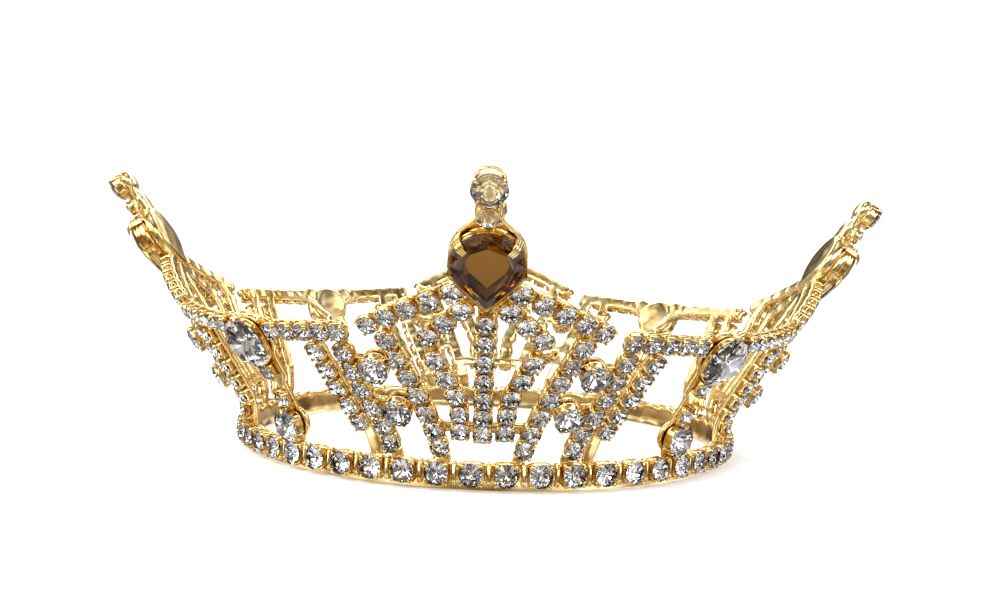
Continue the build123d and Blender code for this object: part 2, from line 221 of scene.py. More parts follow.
# ---- mesh building ----------------------------------------------------------------------
class Shape:
    """Vertices, faces, a material index per face and a painted light level per face, which the
    stone materials turn into painted facet shade, highlight and glint.
    """

    def __init__(self):
        self.points = np.zeros((0, 3))
        self.faces = []
        self.kinds = []
        self.facet_light = []

    def add(self, points, faces, kinds=None, facet_light=None):
        start = len(self.points)
        self.points = np.vstack((self.points, points))
        self.faces += [tuple(start + i for i in face) for face in faces]
        self.kinds += list(kinds) if kinds is not None else [0] * len(faces)
        self.facet_light += list(facet_light) if facet_light is not None else [0.5] * len(faces)
        return self

    def join(self, other):
        return self.add(other.points, other.faces, other.kinds, other.facet_light)

    def put(self, other, where):
        """A copy of another shape, moved to a seat."""
        origin, axes = where
        return self.add(other.points @ axes + origin, other.faces, other.kinds, other.facet_light)

    def turned(self, degrees):
        angle = math.radians(degrees)
        turn = np.array(((math.cos(angle), math.sin(angle), 0),
                         (-math.sin(angle), math.cos(angle), 0), (0, 0, 1)))
        other = Shape()
        return other.add(self.points @ turn, self.faces, self.kinds, self.facet_light)


def skin(rings):
    """Closed skin over a list of rings of points, with a flat cap at each end."""
    count = len(rings[0])
    shape = Shape()
    faces = [tuple(reversed(range(count)))]
    for step in range(len(rings) - 1):
        low, high = step * count, (step + 1) * count
        for i in range(count):
            j = (i + 1) % count
            faces.append((low + i, low + j, high + j, high + i))
    last = (len(rings) - 1) * count
    faces.append(tuple(last + i for i in range(count)))
    return shape.add(np.vstack(rings), faces)


def square_outline(half, power, count):
    """Rounded square: a superellipse, first point at +X."""
    angles = np.arange(count) * 2 * math.pi / count
    c, s = np.cos(angles), np.sin(angles)
    radius = half / (np.abs(c) ** power + np.abs(s) ** power) ** (1 / power)
    return np.stack((radius * c, radius * s), axis=1)


def circle_outline(radius, count):
    return square_outline(radius, 2.0, count)


def pear_outline(radius, depth, count):
    """Teardrop, point down, with evenly spread angles."""
    spread = math.acos(radius / depth)
    touch = -math.pi / 2 + spread
    points = []
    for k in range(count):
        angle = math.pi / 2 + k * 2 * math.pi / count
        down = abs((angle + math.pi / 2 + math.pi) % (2 * math.pi) - math.pi)
        if down > math.pi / 2 + touch:
            reach = radius
        else:
            reach = radius / math.cos(spread - down)
        points.append((reach * math.cos(angle), reach * math.sin(angle)))
    return np.array(points)


def level(outline, z):
    """Outline at a height, or at a height per point."""
    heights = np.broadcast_to(np.asarray(z, float), (len(outline),))
    return np.column_stack((outline, heights))


def claw(angle, path, width, thickness):
    """Bent claw in the plane at an angle; path holds (radius, height, scale) from foot to tip."""
    stops = np.array([p[:2] for p in path], float)
    slopes = np.gradient(stops, axis=0)
    slopes /= np.linalg.norm(slopes, axis=1)[:, None]
    rings = []
    for (radius, z), slope, (_, _, scale) in zip(stops, slopes, path):
        ring = []
        for k in range(8):
            turn = 2 * math.pi * (k + 0.5) / 8
            c, s = math.cos(turn), math.sin(turn)
            side = 0.5 * width * scale * math.copysign(abs(c) ** 0.6, c)
            out = 0.5 * thickness * scale * math.copysign(abs(s) ** 0.6, s)
            ring.append((radius + out * slope[1], side, z - out * slope[0]))
        rings.append(np.array(ring))
    shape = skin(rings)
    c, s = math.cos(math.radians(angle)), math.sin(math.radians(angle))
    turn = np.array(((c, s, 0), (-s, c, 0), (0, 0, 1)))
    shape.points = shape.points @ turn
    return shape


# ---- settings, standing on z = 0 --------------------------------------------------------
def square_cup(side, height):
    """Square cup: rounded back, scalloped walls and a prong bent in over each corner."""
    count = 32
    angles = np.arange(count) * 2 * math.pi / count
    corner = np.abs(np.sin(2 * angles)) ** 2.5
    low = height * 0.66
    lip = low + (height * 0.95 - low) * corner
    half = side / 2
    rings = [
        level(square_outline(half * 0.66, 3.0, count), 0.0),
        level(square_outline(half * 0.86, 3.5, count), 0.12),
        level(square_outline(half * 0.97, 4.5, count), 0.4),
        level(square_outline(half, 5.5, count), 0.7),
        level(square_outline(half, 5.5, count), lip - 0.08),
        level(square_outline(half * 0.975, 5.5, count), lip),
        level(square_outline(half * 0.86, 4.0, count), lip - 0.05),
        level(circle_outline(half * 0.8, count), height * 0.4),
        level(circle_outline(half * 0.2, count), 0.12)]
    cup = skin(rings)
    reach = half * 1.27
    top = height + 0.36
    path = ((reach - 0.45, -0.55, 0.7), (reach - 0.1, 0.1, 1.0), (reach - 0.02, height * 0.6, 1.0),
            (reach, height, 1.0), (reach - 0.1, height + 0.25, 0.95), (reach - 0.4, top, 0.8),
            (reach - 0.85, top + 0.12, 0.4))
    for angle in (45, 135, 225, 315):
        cup.join(claw(angle, path, 0.62, 0.34))
    return cup


def round_cup(stone, height, claws, outline=circle_outline):
    """Round cup under an overhanging stone, with bent claws; claws holds (angle, width)."""
    count = 48
    outer = stone / 2 - OVERHANG
    rings = [
        level(outline(outer * 0.80, count), 0.0),
        level(outline(outer * 0.95, count), 0.25),
        level(outline(outer, count), 0.8),
        level(outline(outer, count), height - 0.6),
        level(outline(outer + 0.06, count), height - 0.5),
        level(outline(outer + 0.06, count), height - 0.38),
        level(outline(outer - 0.12, count), height - 0.3),
        level(outline(outer - WALL, count), height * 0.45),
        level(outline(outer * 0.2, count), 0.12)]
    cup = skin(rings)
    base = stone / 2 + 0.1
    for angle, width in claws:
        path = ((outer - 0.1, 0.3, 0.7), (outer + 0.1, height * 0.5, 0.95),
                (base, height - 0.2, 1.0), (base - 0.05, height + 0.2, 1.0),
                (base - 0.4, height + 0.5, 0.9), (base - 0.95, height + 0.66, 0.5))
        cup.join(claw(angle, path, width, 0.34))
    return cup


def brilliant(outline, girdle, crown, table, culet, table_share=0.56, base_share=0.02,
              base_drop=0.0, seed=1):
    """Cut stone: table, stars, kites and girdle facets in glass above a foiled pavilion.

    outline(scale) gives 16 points; heights are of the girdle's two edges, the table and the culet.
    The pavilion ends in a small flat of base_share, or a wide one under a pear stone's table,
    which sits base_drop below the stone's centre."""
    rng = np.random.default_rng(seed)
    full = outline(1.0)
    odd = [2 * k + 1 for k in range(8)]
    even = [2 * k for k in range(8)]
    mid_height = crown + 0.58 * (table - crown)
    points = np.vstack((
        level(full[even] * table_share, table),
        level(full[odd] * (table_share * 0.45 + 0.45), mid_height),
        level(full, crown),
        level(full, girdle),
        level(full[even] * base_share - (0.0, base_drop), culet)))
    tables, mids, upper, lower, foot = 0, 8, 16, 32, 48
    faces = [tuple(range(8)), tuple(foot + k for k in reversed(range(8)))]
    # the table and the foot get one fixed painted light level
    kinds, facet_light = [0, 1], [0.62, 0.62]

    def facet(face, kind):
        faces.append(face)
        kinds.append(kind)
        # a random painted light level for each facet
        facet_light.append(float(rng.random()))

    for k in range(8):
        ahead, behind = (k + 1) % 8, (k - 1) % 8
        facet((tables + k, mids + k, tables + ahead), 0)
        facet((tables + k, mids + behind, upper + 2 * k, mids + k), 0)
        facet((mids + k, upper + 2 * k, upper + 2 * k + 1), 0)
        facet((mids + k, upper + 2 * k + 1, upper + (2 * k + 2) % 16), 0)
        facet((foot + k, lower + 2 * k + 1, lower + 2 * k), 1)
        facet((foot + k, foot + ahead, lower + (2 * k + 2) % 16, lower + 2 * k + 1), 1)
    for k in range(16):
        ahead = (k + 1) % 16
        facet((lower + k, lower + ahead, upper + ahead, upper + k), 0)
    return Shape().add(points, faces, kinds, facet_light)


def round_stone(diameter, height, seed=1, outline=circle_outline):
    radius = diameter / 2
    girdle = height - 0.12
    crown = girdle + 0.04 * diameter
    turn = math.radians(22.5)
    spin = np.array(((math.cos(turn), math.sin(turn)), (-math.sin(turn), math.cos(turn))))
    return brilliant(lambda scale: outline(radius * scale, 16) @ spin, girdle, crown,
                     crown + 0.14 * diameter, max(0.14, girdle - 0.42 * diameter), seed=seed)


def pear_stone():
    radius = PEAR_RADIUS + 0.3
    girdle = PEAR_HEIGHT - 0.1

    def outline(scale):
        return pear_outline(radius * scale, (PEAR_DEPTH + 0.3) * scale, 16)

    return brilliant(outline, girdle, girdle + 0.35, girdle + 1.45, 1.5, table_share=0.66,
                     base_share=0.62, base_drop=1.1, seed=722)


def pear_cup():
    """Deep pear setting with a double rim, two broad ribbed claws above and two small below."""
    count = 96

    def outline(grow):
        radius = PEAR_RADIUS + grow
        return pear_outline(radius, radius * PEAR_DEPTH / PEAR_RADIUS, count)

    rings = [
        level(outline(-1.4), 0.0),
        level(outline(-0.3), 0.3),
        level(outline(0.05), 0.9),
        level(outline(0.05), PEAR_HEIGHT - 1.5),
        level(outline(0.3), PEAR_HEIGHT - 1.35),
        level(outline(0.3), PEAR_HEIGHT - 0.95),
        level(outline(-0.1), PEAR_HEIGHT - 0.85),
        level(outline(-0.1), PEAR_HEIGHT - 0.6),
        level(outline(0.22), PEAR_HEIGHT - 0.5),
        level(outline(0.22), PEAR_HEIGHT - 0.18),
        level(outline(-0.1), PEAR_HEIGHT - 0.12),
        level(outline(-0.5), PEAR_HEIGHT - 0.4),
        level(outline(-0.6), 1.6),
        level(outline(-5.4), 0.2)]
    cup = skin(rings)
    base = PEAR_RADIUS + WALL + 0.1
    for angle in (42, 138):
        for side in (-1, 0, 1):
            path = ((base - 0.1, 0.5, 0.8), (base + 0.05, PEAR_HEIGHT * 0.7, 1.0),
                    (base, PEAR_HEIGHT + 0.1, 1.0), (base - 0.3, PEAR_HEIGHT + 0.7, 1.0),
                    (base - 0.95, PEAR_HEIGHT + 1.3, 0.95), (base - 1.9, PEAR_HEIGHT + 1.62, 0.6))
            cup.join(claw(angle + side * 4.2, path, 0.6 if side else 0.68, 0.42))
    for angle in (-18, 198):
        path = ((base - 0.1, 0.5, 0.8), (base, PEAR_HEIGHT * 0.7, 1.0), (base, PEAR_HEIGHT, 1.0),
                (base - 0.25, PEAR_HEIGHT + 0.5, 0.9), (base - 0.8, PEAR_HEIGHT + 0.75, 0.5))
        cup.join(claw(angle, path, 0.6, 0.36))
    return cup


# ---- metalwork --------------------------------------------------------------------------
def strip(row, width=BAR_WIDTH, inner=METAL, outer=0.14, ladder=True):
    """Rounded bar that follows the shell under a row, swelling behind each setting."""
    total = row_length(row)
    reach = width / 2
    gaps = max(1, math.floor(total / CHAIN_PITCH))
    pitch = total / gaps
    count = max(6, math.ceil((total + 2 * reach) / 0.7))
    rings = []
    for i in range(count + 1):
        share = (1 - math.cos(math.pi * i / count)) / 2
        along = share * (total + 2 * reach) - reach
        past = max(-along, along - total, 0.0)
        round_off = math.sqrt(max(0.0, 1 - (past / (width / 2)) ** 2))
        swell = 0.5 + 0.5 * math.cos(2 * math.pi * along / pitch) if ladder else 0.5
        half = max(0.04, width / 2 * round_off * (0.93 + 0.1 * swell))
        deep = inner * (1.0 + 0.16 * swell ** 3) * (0.6 + 0.4 * round_off)
        place = along_row(row, along)
        ahead = on_shell(along_row(row, along + 0.5)) - on_shell(along_row(row, along - 0.5))
        normal = outward(place)
        across = np.cross(normal, ahead)
        across /= np.linalg.norm(across)
        middle, thick = (outer - deep) / 2, (outer + deep) / 2
        ring = []
        for k in range(14):
            turn = 2 * math.pi * (k + 0.5) / 14
            c, s = math.cos(turn), math.sin(turn)
            ring.append(on_shell(place)
                        + across * half * math.copysign(abs(c) ** 0.55, c)
                        + normal * (middle + thick * math.copysign(abs(s) ** 0.55, s)))
        rings.append(np.array(ring))
    return skin(rings)


def plate(place, outline, depth, front=0.14):
    """Domed plate behind a large setting; outline(grow) gives its edge."""
    rings = [level(outline(-1.0) * 0.4, -depth), level(outline(-1.0), -depth * 0.9),
             level(outline(-0.3), -depth * 0.66), level(outline(0.0), -0.35),
             level(outline(0.0), front)]
    return Shape().put(skin(rings), seat(place))


def disc(place, radius, depth=1.35):
    return plate(place, lambda grow: circle_outline(max(0.3, radius + grow), 36), depth)


def half_panel(span):
    rim_row = rim(span)
    foot = FAN_SIDE[-1]
    valley_edge = (span - 3.2, VALLEY_PLACE[1])
    metal = Shape()
    for row in (CREST, FAN_SIDE, INNER_RIB, OUTER_RIB, SIDE_RIB, rim_row, CHEVRON):
        metal.join(strip(row))
    ties = (
        ((0.0, CREST[0][1] + 2.0), CREST[0]), ((0.0, CHEVRON[0][1] + 3.0), CHEVRON[0]),
        (CHEVRON[1], FAN_SIDE[0]), (foot, (0.0, foot[1])),
        (between(*CREST, 0.75), INNER_RIB[0]),
        (INNER_RIB[-1], at_height(INNER_RIB, BAND_HEIGHT)),
        (foot, at_height(INNER_RIB, foot[1])),
        (between(*rim_row, 0.1), OUTER_RIB[0]),
        (OUTER_RIB[-1], at_height(OUTER_RIB, BAND_HEIGHT)),
        (between(*rim_row, 0.4), SIDE_RIB[0]),
        (SIDE_RIB[-1], at_height(SIDE_RIB, BAND_HEIGHT)),
        (rim_row[1], valley_edge))
    for tie in ties:
        metal.join(strip(tie, width=2.7, ladder=False))
    for place in (UPPER_ROUND, LOWER_ROUND):
        metal.join(disc(place, ROUND_STONE / 2 - 0.2))
        for rib in (INNER_RIB, OUTER_RIB):
            metal.join(strip((place, at_height(rib, place[1])), width=TIE_WIDTH, ladder=False))
    return metal


def panel_metal(span):
    """Openwork frame of one point, before its joints are melted together."""
    half = half_panel(span)
    other = Shape()
    other.add(half.points * np.array((-1, 1, 1)), [tuple(reversed(face)) for face in half.faces])
    metal = half.join(other)
    metal.join(strip((PEAR_CENTRE, (0.0, FAN_SIDE[-1][1])), ladder=False))
    metal.join(strip(SPINE))

    def pear_edge(grow):
        radius = PEAR_RADIUS + WALL + grow
        return pear_outline(radius, radius * PEAR_DEPTH / PEAR_RADIUS, 64)

    metal.join(plate(PEAR_CENTRE, pear_edge, 2.3))
    metal.join(strip((PEAR_CENTRE, NECK_PLACE), width=5.0, inner=1.9, ladder=False))
    metal.join(strip((NECK_PLACE, FINIAL_PLACE), width=4.1, inner=1.3, ladder=False))
    above_pear = (0.0, PEAR_CENTRE[1] + 6.4 * math.cos(LEAN))
    metal.join(strip((above_pear, FINIAL_PLACE), width=2.8, inner=1.4, outer=1.9, ladder=False))
    metal.join(disc(FINIAL_PLACE, FINIAL_STONE / 2 - 0.3, 1.9))
    for side in (-1, 1):
        metal.join(shoulder_wire(side))
    return metal


def shoulder_wire(side):
    """Drawn wire that flares from beside the neck stone down to the pear's shoulder."""
    origin, axes = seat(PEAR_CENTRE)
    stops = ((1.55, NECK_UP + 0.9, 0.9), (1.75, NECK_UP - 0.6, 0.9), (2.7, 7.2, 0.85),
             (4.2, 5.6, 0.75), (5.3, 4.4, 0.55))
    rings = []
    for i, (x, y, z) in enumerate(stops):
        ahead = np.array(stops[min(i + 1, 4)]) - np.array(stops[max(i - 1, 0)])
        ahead /= np.linalg.norm(ahead)
        across = np.cross((0, 0, 1), ahead)
        across /= np.linalg.norm(across)
        up = np.cross(ahead, across)
        ring = [np.array((x, y, z)) + 0.42 * (math.cos(t) * across + math.sin(t) * up)
                for t in np.arange(10) * 2 * math.pi / 10]
        rings.append(np.array(ring) * np.array((side, 1, 1)))
    wire = skin(rings if side > 0 else [ring[::-1] for ring in rings])
    return Shape().put(wire, (origin, axes))


def valley_metal():
    metal = Shape()
    metal.join(disc(VALLEY_PLACE, VALLEY_STONE / 2 - 0.6, 1.8))
    for side in (-1, 1):
        wing = (VALLEY_PLACE, (side * 4.6, RIM_END_HEIGHT))
        metal.join(strip(wing, width=4.4, inner=1.2, ladder=False))
    metal.join(strip((VALLEY_PLACE, (0.0, 20.5)), width=6.0, inner=1.5, ladder=False))
    metal.join(strip((VALLEY_PLACE, (0.0, BAND_HEIGHT)), ladder=False))
    metal.join(disc(DROP_PLACE, DROP_STONE / 2, 1.5))
    return metal


def base_metal():
    """Band with an uneven, scalloped top edge, and the links between its settings."""
    count = BASE_COUNT * 14
    rings = []
    for i in range(count):
        azimuth = 360 * i / count
        phase = ((azimuth - BASE_PHASE) * BASE_COUNT / 360 - 0.5) % 1.0
        near = 0.5 + 0.5 * math.cos(2 * math.pi * phase)
        wander = noise.noise(Vector((math.cos(math.radians(azimuth)) * 9,
                                     math.sin(math.radians(azimuth)) * 9, 0.0)))
        top = BAND_HEIGHT - 0.05 - 0.7 * (1 - near) ** 2 - 0.25 * abs(wander)
        swell = 0.12 * near + 0.12 * wander
        profile = ((-METAL - swell, 0.25), (-METAL + 0.25, 0.0), (-0.2, 0.0), (0.0, 0.25),
                   (0.0, top - 0.7), (0.3 * near, top - 0.45), (0.15 * near - 0.1, top - 0.05),
                   (-0.5, top), (-METAL + 0.1, top - 0.15), (-METAL - 0.22 - swell, top - 0.6),
                   (-METAL - swell, top - 1.5), (-METAL - 0.25 - swell, 2.4))
        a = math.radians(azimuth)
        rings.append(np.array([
            ((BASE_RADIUS + r) * math.sin(a), -(BASE_RADIUS + r) * math.cos(a), z)
            for r, z in profile]))
    width = len(rings[0])
    faces = []
    for i in range(count):
        low, high = i * width, (i + 1) % count * width
        for k in range(width):
            j = (k + 1) % width
            faces.append((low + k, high + k, high + j, low + j))
    band = Shape().add(np.vstack(rings), faces)
    rib = skin([level(square_outline(0.5, 4, 12) * (1.0, 4.6), z) for z in (-0.2, 1.2)]
               + [level(square_outline(0.38, 4, 12) * (1.0, 5.6), 1.75)])
    link = skin([level(square_outline(0.95, 5, 16) * (1.0, 1.35), z) for z in (-0.2, 0.85)]
                + [level(square_outline(0.8, 5, 16) * (1.0, 1.3), 1.05)])
    for i in range(BASE_COUNT):
        where = seat((BASE_PHASE + i * 360 / BASE_COUNT, BASE_CENTRE))
        band.put(rib, where)
        band.put(link, where)
    return band


# ---- materials --------------------------------------------------------------------------
def new_material(name):
    material = bpy.data.materials.new(name)
    material.use_nodes = True
    nodes, links = material.node_tree.nodes, material.node_tree.links
    shader = nodes["Principled BSDF"]
    return material, nodes, links, shader


def ramp(nodes, stops):
    node = nodes.new("ShaderNodeValToRGB")
    elements = node.color_ramp.elements
    while len(elements) < len(stops):
        elements.new(0.5)
    for element, (position, colour) in zip(elements, stops):
        element.position = position
        element.color = (*colour, 1)
    return node


def gilt(name, deep, pale, rough_low, rough_high, bump):
    """Gilded metal: colour that wanders between two golds, uneven polish and fine pitting."""
    material, nodes, links, shader = new_material(name)
    shader.inputs["Metallic"].default_value = 1.0
    place = nodes.new("ShaderNodeTexCoord")
    clouds = nodes.new("ShaderNodeTexNoise")
    clouds.inputs["Scale"].default_value = 130.0
    clouds.inputs["Detail"].default_value = 4.0
    links.new(place.outputs["Object"], clouds.inputs["Vector"])
    colours = ramp(nodes, ((0.3, deep), (0.62, pale)))
    links.new(clouds.outputs["Fac"], colours.inputs["Fac"])
    links.new(colours.outputs["Color"], shader.inputs["Base Color"])
    wear = nodes.new("ShaderNodeTexNoise")
    wear.inputs["Scale"].default_value = 420.0
    wear.inputs["Detail"].default_value = 6.0
    links.new(place.outputs["Object"], wear.inputs["Vector"])
    polish = nodes.new("ShaderNodeMapRange")
    polish.inputs["To Min"].default_value = rough_low
    polish.inputs["To Max"].default_value = rough_high
    links.new(wear.outputs["Fac"], polish.inputs["Value"])
    links.new(polish.outputs["Result"], shader.inputs["Roughness"])
    relief = nodes.new("ShaderNodeBump")
    relief.inputs["Strength"].default_value = bump
    relief.inputs["Distance"].default_value = 0.0002
    links.new(wear.outputs["Fac"], relief.inputs["Height"])
    links.new(relief.outputs["Normal"], shader.inputs["Normal"])
    return material


def cut_glass(name, tint, shade, ior):
    """Faces of a cut stone: clear glass of one tint, with painted shade darkening some facets
    towards the shade colour.
    """
    material, nodes, links, shader = new_material(name)
    shader.inputs["Transmission Weight"].default_value = 1.0
    shader.inputs["Roughness"].default_value = 0.0
    shader.inputs["IOR"].default_value = ior
    facet = nodes.new("ShaderNodeAttribute")
    facet.attribute_name = "facet"
    # painted facet shade: the facet's painted light level picks a colour between the shade and the
    # glass's tint
    colours = ramp(nodes, ((0.0, shade), (0.55, tint)))
    links.new(facet.outputs["Fac"], colours.inputs["Fac"])
    links.new(colours.outputs["Color"], shader.inputs["Base Color"])
    return material


def foil(name, stops):
    """Mirror backing of a stone, painted per facet with reflections: dark facets painted shade,
    bright ones painted highlights and glints.
    """
    material, nodes, links, shader = new_material(name)
    shader.inputs["Metallic"].default_value = 1.0
    shader.inputs["Roughness"].default_value = 0.06
    facet = nodes.new("ShaderNodeAttribute")
    facet.attribute_name = "facet"
    # painted reflections: the facet's painted light level picks a dark, bright or glinting colour
    # from the stops
    colours = ramp(nodes, stops)
    links.new(facet.outputs["Fac"], colours.inputs["Fac"])
    links.new(colours.outputs["Color"], shader.inputs["Base Color"])
    return material


FRAME_GILT = gilt("frame_gilt", (0.78, 0.50, 0.14), (0.99, 0.79, 0.41), 0.14, 0.30, 0.10)
CUP_GILT = gilt("cup_gilt", (0.74, 0.46, 0.12), (0.97, 0.75, 0.36), 0.11, 0.26, 0.12)
# clear glass of the stones; its greyer facets are painted shade
CLEAR_GLASS_PAINTED_SHADE = cut_glass("clear_glass_painted_shade", (1.0, 1.0, 1.0), (0.88, 0.88, 0.88), 1.6)
# painted reflections of the clear stones: grey-brown painted shade, white painted highlights and a
# pale blue painted glint on the brightest facets
CLEAR_FOIL_PAINTED_LIGHT = foil("clear_foil_painted_light", ((0.0, (0.36, 0.33, 0.32)), (0.35, (0.80, 0.79, 0.79)),
                                 (0.6, (0.96, 0.97, 0.98)), (0.93, (1.0, 1.0, 1.0)),
                                 (0.97, (0.65, 0.82, 1.0))))
# amber glass of the pear stone; its darker brown facets are painted shade
AMBER_GLASS_PAINTED_SHADE = cut_glass("amber_glass_painted_shade", (0.80, 0.56, 0.09), (0.62, 0.38, 0.10), 1.4)
# painted reflections of the amber stone: dark brown painted shade, lighter brown facets and an
# orange painted glint on the brightest facets
AMBER_FOIL_PAINTED_LIGHT = foil("amber_foil_painted_light", ((0.0, (0.14, 0.055, 0.01)), (0.5, (0.30, 0.18, 0.012)),
                                 (0.85, (0.44, 0.25, 0.02)), (0.95, (1.0, 0.28, 0.05))))


# ---- pieces -----------------------------------------------------------------------------
def new_mesh(name, shape, materials, smooth=True):
    mesh = bpy.data.meshes.new(name)
    mesh.from_pydata((shape.points * MM).tolist(), [], shape.faces)
    for material in materials:
        mesh.materials.append(material)
    mesh.polygons.foreach_set("material_index", shape.kinds)
    mesh.polygons.foreach_set("use_smooth", [smooth] * len(shape.faces))
    # each face's painted light level, stored for the stone materials
    facet_light = mesh.attributes.new("facet", "FLOAT", "FACE")
    facet_light.data.foreach_set("value", shape.facet_light)
    mesh.update()
    return mesh


def piece(name, mesh, node):
    """Object that stands for a CAD node and rides on the crown's one body."""
    obj = bpy.data.objects.new(name, mesh)
    bpy.context.scene.collection.objects.link(obj)
    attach(obj, "root")
    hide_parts(node)
    return obj


def turned_mesh(mesh, name, degrees):
    other = mesh.copy()
    other.name = name
    other.transform(Matrix.Rotation(math.radians(degrees), 4, "Z"))
    return other


def melted(name, shape, voxel, material, rounds=5):
    """One continuous skin over overlapping metalwork, softened as solder and casting leave it."""
    mesh = new_mesh(name + "_blank", shape, [])
    work = bpy.data.objects.new(name + "_blank", mesh)
    bpy.context.scene.collection.objects.link(work)
    remesh = work.modifiers.new("remesh", "REMESH")
    remesh.mode = "VOXEL"
    remesh.voxel_size = voxel * MM
    remesh.use_smooth_shade = True
    soften = work.modifiers.new("soften", "SMOOTH")
    soften.factor = 0.5
    soften.iterations = rounds
    graph = bpy.context.evaluated_depsgraph_get()
    result = bpy.data.meshes.new_from_object(work.evaluated_get(graph))
    result.name = name
    bpy.data.objects.remove(work)
    count = len(result.vertices)
    co = np.zeros(count * 3)
    result.vertices.foreach_get("co", co)
    co = co.reshape(-1, 3)
    normals = np.zeros(count * 3)
    result.vertices.foreach_get("normal", normals)
    waves = np.array([noise.noise(Vector(p) * 420) for p in co])
    co += normals.reshape(-1, 3) * (waves * 0.07 * MM)[:, None]
    result.vertices.foreach_set("co", co.ravel())
    result.polygons.foreach_set("use_smooth", [True] * len(result.polygons))
    result.materials.clear()
    result.materials.append(material)
    result.update()
    return result


METALS = [CUP_GILT]
CLEAR = [CLEAR_GLASS_PAINTED_SHADE, CLEAR_FOIL_PAINTED_LIGHT]
AMBER = [AMBER_GLASS_PAINTED_SHADE, AMBER_FOIL_PAINTED_LIGHT]
VOXEL = 0.27


def placed(masters, seats):
    """One shape of copies; masters are taken in turn, so that neighbours differ."""
    shape = Shape()
    for i, where in enumerate(seats):
        shape.put(masters[i % len(masters)], where)
    return shape


def quarter_turned(where, turns):
    """The same seat with its axes turned by quarter turns about its normal."""
    origin, (x, y, z) = where
    for _ in range(turns):
        x, y = y, -x
    return origin, np.array((x, y, z))


def stone_seats(seats):
    return [quarter_turned(where, i % 4) for i, where in enumerate(seats)]


chain_cup = square_cup(CHAIN_SIDE, CHAIN_HEIGHT)
chain_stones = [round_stone(CHAIN_STONE, CHAIN_HEIGHT, seed) for seed in range(11, 18)]
side_claws = [(angle, 0.5) for angle in (65, 115, 245, 295)]
round_master = round_cup(ROUND_STONE, SETTING_HEIGHT, side_claws)
round_stones = [round_stone(ROUND_STONE, SETTING_HEIGHT, seed) for seed in (21, 22, 23)]
neck_master = round_cup(NECK_STONE, SETTING_HEIGHT, ())
finial_master = round_cup(FINIAL_STONE, SETTING_HEIGHT, [(a, 0.55) for a in (40, 140, 225, 315)])

frame_meshes = {span: melted(f"panel_{span:.0f}", panel_metal(span), VOXEL, FRAME_GILT)
                for span in (FRONT_SPAN, SIDE_SPAN)}

for side, (turn, span) in POINTS.items():
    seats = [where for row in panel_rows(span) for where in row_seats(row)]
    rounds = [seat(p, None, LARGE_SOLDER)
              for p in (UPPER_ROUND, LOWER_ROUND) + mirrored((UPPER_ROUND, LOWER_ROUND))]
    pear = [seat(PEAR_CENTRE, None, SOLDER)]
    neck, finial = seat(NECK_PLACE, None, SOLDER), seat(FINIAL_PLACE, None, SOLDER)
    ends = Shape().put(neck_master, neck).put(finial_master, finial)
    end_stones = Shape().put(round_stone(NECK_STONE, SETTING_HEIGHT, 31), neck)
    end_stones.put(round_stone(FINIAL_STONE, SETTING_HEIGHT, 32), finial)
    made = {
        "chain_cups": (placed([chain_cup], seats), METALS, "gilt_settings"),
        "chain_stones": (placed(chain_stones, stone_seats(seats)), CLEAR, "clear_stone"),
        "round_cups": (placed([round_master], rounds), METALS, "gilt_settings"),
        "round_stones": (placed(round_stones, rounds), CLEAR, "clear_stone"),
        "pear_cup": (placed([pear_cup()], pear), METALS, "gilt_settings"),
        "pear_stone": (placed([pear_stone()], pear), AMBER, "amber_stone"),
        "finial_cups": (ends, METALS, "gilt_settings"),
        "finial_stones": (end_stones, CLEAR, "clear_stone")}
    piece(f"{side}_point_frame", turned_mesh(frame_meshes[span], f"{side}_point_frame", turn),
          f"{side}_frame")
    for name, (shape, materials, slot) in made.items():
        mesh = new_mesh(f"{side}_{name}", shape.turned(turn), materials, smooth=materials is METALS)
        piece(f"{side}_point_{name}", mesh, f"{side}_{name}")

valley_mesh = melted("valley", valley_metal(), VOXEL, FRAME_GILT, rounds=12)
column_seats = row_seats(COLUMN)
large, drop = seat(VALLEY_PLACE, None, LARGE_SOLDER), seat(DROP_PLACE, None, LARGE_SOLDER)


def cushion(radius, count):
    return square_outline(radius * 0.96, 2.5, count)


valley_cups = Shape().put(
    round_cup(VALLEY_STONE, VALLEY_HEIGHT, [(90, 1.9), (210, 0.8), (330, 0.8)], cushion), large)
valley_cups.put(
    round_cup(DROP_STONE, SETTING_HEIGHT, [(90, 1.3), (210, 0.6), (330, 0.6)], cushion), drop)
valley_stones = Shape().put(round_stone(VALLEY_STONE, VALLEY_HEIGHT, 41, cushion), large)
valley_stones.put(round_stone(DROP_STONE, SETTING_HEIGHT, 42, cushion), drop)
made = {
    "chain_cups": (placed([chain_cup], column_seats), METALS, "gilt_settings"),
    "chain_stones": (placed(chain_stones, column_seats), CLEAR, "clear_stone"),
    "cups": (valley_cups, METALS, "gilt_settings"),
    "stones": (valley_stones, CLEAR, "clear_stone")}
for side, turn in VALLEYS.items():
    piece(f"{side}_stem", turned_mesh(valley_mesh, f"{side}_stem", turn),
          f"{side}_valley_frame")
    for name, (shape, materials, slot) in made.items():
        mesh = new_mesh(f"{side}_{name}", shape.turned(turn), materials, smooth=materials is METALS)
        piece(f"{side}_stem_{name}", mesh, f"{side}_valley_{name}")

